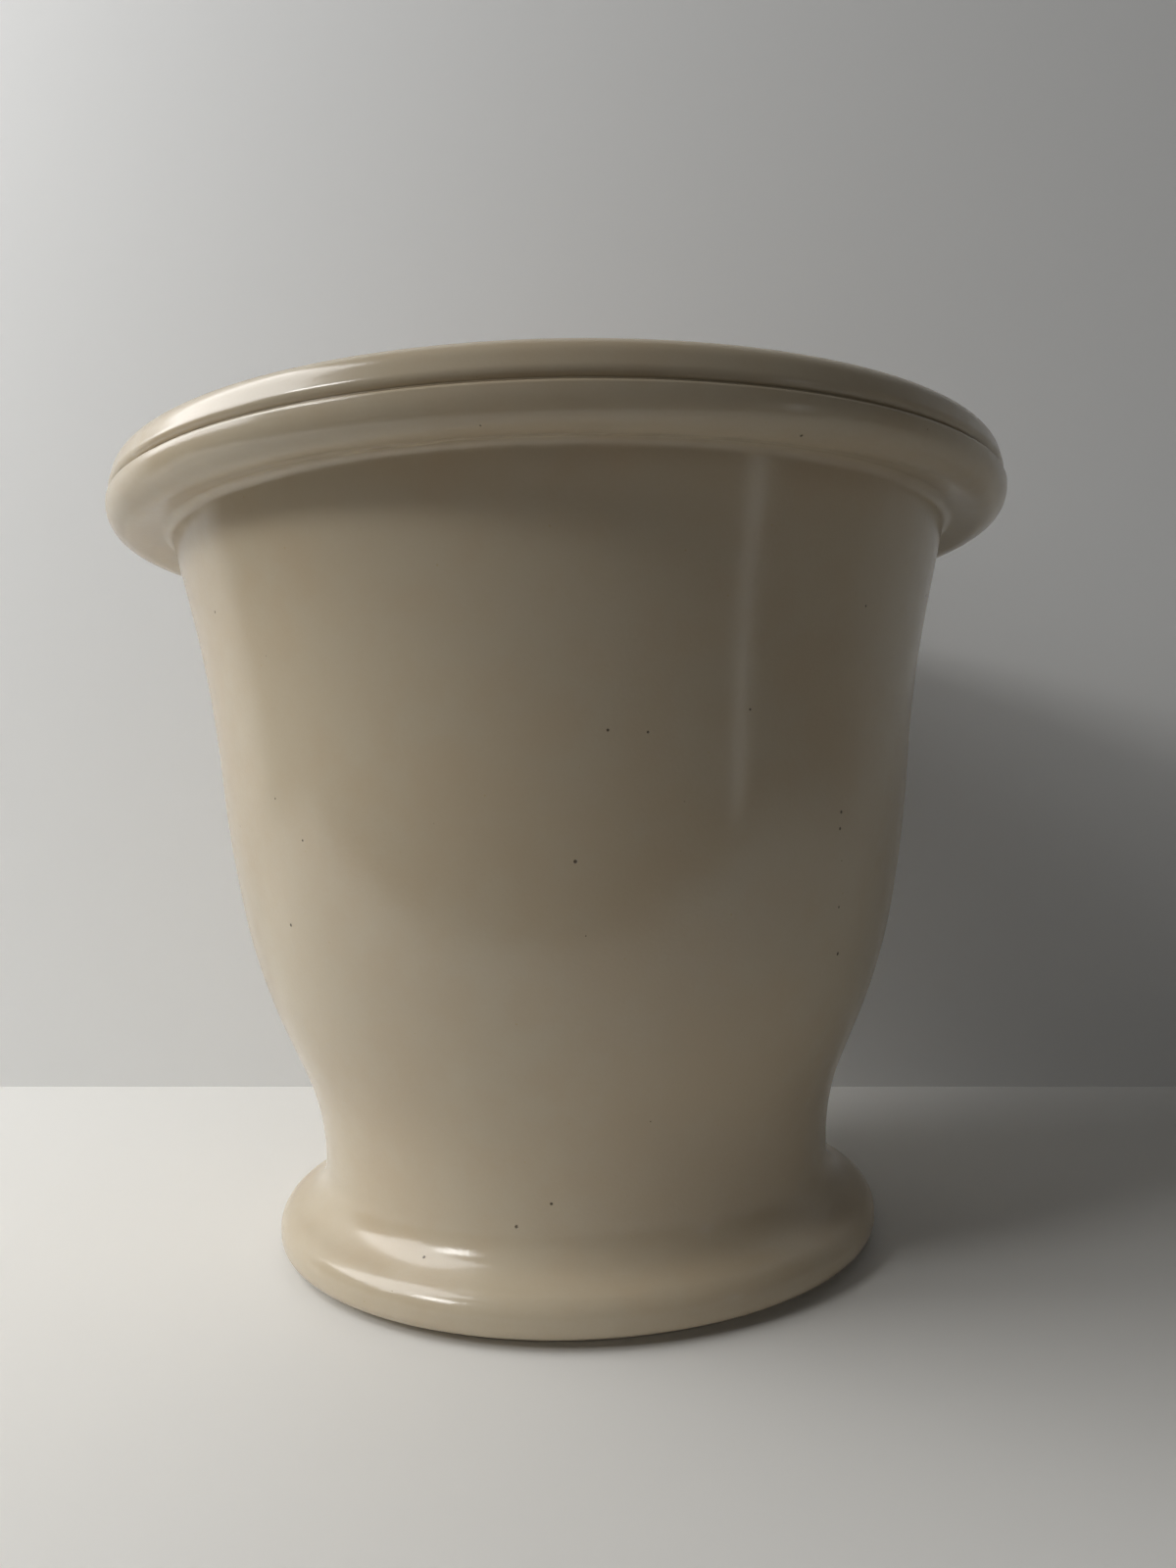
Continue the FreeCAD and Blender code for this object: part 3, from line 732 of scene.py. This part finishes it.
def makeCementMaterial():
    look = cementLook
    material, tree, shader = newMaterial("handleCement")
    place = objectPlace(tree)
    tone = mottle(tree, place, look)
    colour = blendColour(tree, stretch(tree, tone, -1.0, 1.0), look["dark"], look["pale"])
    grit = maths(tree, "MULTIPLY", specks(tree, place, look["grit"]), look["gritShare"])
    colour = blendColour(tree, grit, colour, look["sand"])
    tree.links.new(colour, shader.inputs["Base Color"])
    tree.links.new(stretch(tree, tone, -1.0, 1.0, look["smoothest"], look["roughest"]),
                   shader.inputs["Roughness"])
    relief = bump(tree, noise(tree, place, look["grainScale"], 4.0, 0.7), look["grainDepth"])
    tree.links.new(relief, shader.inputs["Normal"])
    return material


# Stage: a pale shelf against a wall, and soft light from the left

stageSizes = {
    "turn": -7.1, "wallPlace": 0.1047, "shelfFront": -0.177, "front": -2.2,
    "halfWidth": 1.6, "wallHeight": 1.8,
}

stageLook = {
    "table": (0.80, 0.79, 0.76, 1.0), "tableRoughness": 0.45,
    "wall": (0.74, 0.74, 0.73, 1.0), "wallRoughness": 0.8,
    "backdrop": (0.80, 0.80, 0.79, 1.0), "surroundings": (0.03, 0.03, 0.03, 1.0),
    "fadeStart": 0.44, "fadeEnd": 0.50,     # from the origin, where the backdrop takes over
}


def flatPiece(name, corners, material):
    mesh = bpy.data.meshes.new(name)
    mesh.from_pydata(corners, [], [tuple(range(len(corners)))])
    mesh.transform(Matrix.Rotation(math.radians(stageSizes["turn"]), 4, "Z"))
    mesh.materials.append(material)
    obj = bpy.data.objects.new(name, mesh)
    bpy.context.scene.collection.objects.link(obj)
    return obj


def stageMaterial(name, colour, roughness, seeThroughBack=False):
    # far from the object the camera sees the plain backdrop colour; nearer, the wall by the
    # window lamp can still clip to white when seen from the side
    look = stageLook
    material, tree, shader = newMaterial(name)
    shader.inputs["Base Color"].default_value = colour
    shader.inputs["Roughness"].default_value = roughness
    output = next(node for node in tree.nodes if node.type == "OUTPUT_MATERIAL")
    reach = put(tree, "ShaderNodeVectorMath", {0: objectPlace(tree)},
                operation="LENGTH").outputs["Value"]
    camera = put(tree, "ShaderNodeLightPath").outputs["Is Camera Ray"]
    far = maths(tree, "MULTIPLY", stretch(tree, reach, look["fadeStart"], look["fadeEnd"]), camera)
    plain = put(tree, "ShaderNodeEmission", {"Color": look["backdrop"], "Strength": 1.0})
    surface = put(tree, "ShaderNodeMixShader", {0: far, 1: shader.outputs[0], 2: plain.outputs[0]})
    if seeThroughBack:
        back = put(tree, "ShaderNodeNewGeometry").outputs["Backfacing"]
        clear = tree.nodes.new("ShaderNodeBsdfTransparent")
        surface = put(tree, "ShaderNodeMixShader", {0: back, 1: surface.outputs[0], 2: clear.outputs[0]})
    tree.links.new(surface.outputs[0], output.inputs["Surface"])
    return material


def makeStage():
    size = stageSizes
    wide, wall, front, shelf = size["halfWidth"], size["wallPlace"], size["front"], size["shelfFront"]
    top = size["wallHeight"]
    tableMaterial = stageMaterial("tablePaint", stageLook["table"], stageLook["tableRoughness"])
    wallMaterial = stageMaterial("wallPaint", stageLook["wall"], stageLook["wallRoughness"], True)
    flatPiece("shelf", [(-wide, shelf, 0), (wide, shelf, 0), (wide, wall, 0), (-wide, wall, 0)],
              tableMaterial)
    floor = flatPiece("floor",
                      [(-wide, front, 0), (wide, front, 0), (wide, shelf, 0), (-wide, shelf, 0)],
                      tableMaterial)
    floor.visible_glossy = False
    floor.visible_diffuse = False
    flatPiece("wall", [(-wide, wall, 0), (wide, wall, 0), (wide, wall, top), (-wide, wall, top)],
              wallMaterial)


def makeWorld():
    world = bpy.data.worlds.new("room")
    world.use_nodes = True
    tree = world.node_tree
    tree.nodes.clear()
    camera = put(tree, "ShaderNodeLightPath").outputs["Is Camera Ray"]
    colour = blendColour(tree, camera, stageLook["surroundings"], stageLook["backdrop"])
    background = put(tree, "ShaderNodeBackground", {"Color": colour, "Strength": 1.0})
    output = tree.nodes.new("ShaderNodeOutputWorld")
    tree.links.new(background.outputs[0], output.inputs["Surface"])
    bpy.context.scene.world = world


lamps = {
    "window": {"place": (-0.52, 0.0, 0.50), "aim": (0.0, 0.0, 0.05), "size": (0.50, 0.50), "power": 3.8,
               "seen": True},
    "pane": {"place": (-0.72, -0.46, 0.62), "aim": (0.0, 0.0, 0.07), "size": (0.24, 0.18), "power": 2.2,
             "seen": True},
    "room": {"place": (0.0, -1.2, 0.30), "aim": (0.0, 0.0, 0.05), "size": (0.80, 0.60), "power": 0.65,
             "seen": False},
    "gap": {"place": (0.44, -0.36, 0.06), "aim": (0.0, 0.0, 0.09), "size": (0.028, 0.20), "power": 0.022,
            "seen": True},
}


def makeLamps():
    for name, lamp in lamps.items():
        data = bpy.data.lights.new(name, "AREA")
        data.shape = "RECTANGLE"
        data.size, data.size_y = lamp["size"]
        data.energy = lamp["power"]
        obj = bpy.data.objects.new(name, data)
        bpy.context.scene.collection.objects.link(obj)
        obj.location = lamp["place"]
        obj.visible_glossy = lamp["seen"]
        obj.visible_camera = False
        aim = Vector(lamp["aim"]) - obj.location
        obj.rotation_mode = "QUATERNION"
        obj.rotation_quaternion = aim.to_track_quat("-Z", "Y")


# Everything in turn

makeCamera()
print("camera set")
speckGroup, edgeGroup, mottleGroup = makeSpeckGroup(), makeEdgeGroup(), makeMottleGroup()
glazeMaterial = makeGlazeMaterial()
headMaterial = makeHeadMaterial()
woodMaterial = makeWoodMaterial()
cementMaterial = makeCementMaterial()
print("materials made")
turnTree = makeTurnTree()
pestleFrame = pestlePlace()
makeMortar()
makeHead()
makeHandle()
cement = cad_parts["handle_cement"]
cement.data.materials.clear()
cement.data.materials.append(cementMaterial)
print("pieces made")
makeStage()
makeWorld()
makeLamps()
bpy.context.scene.view_settings.view_transform = "Standard"
print("stage and light set")
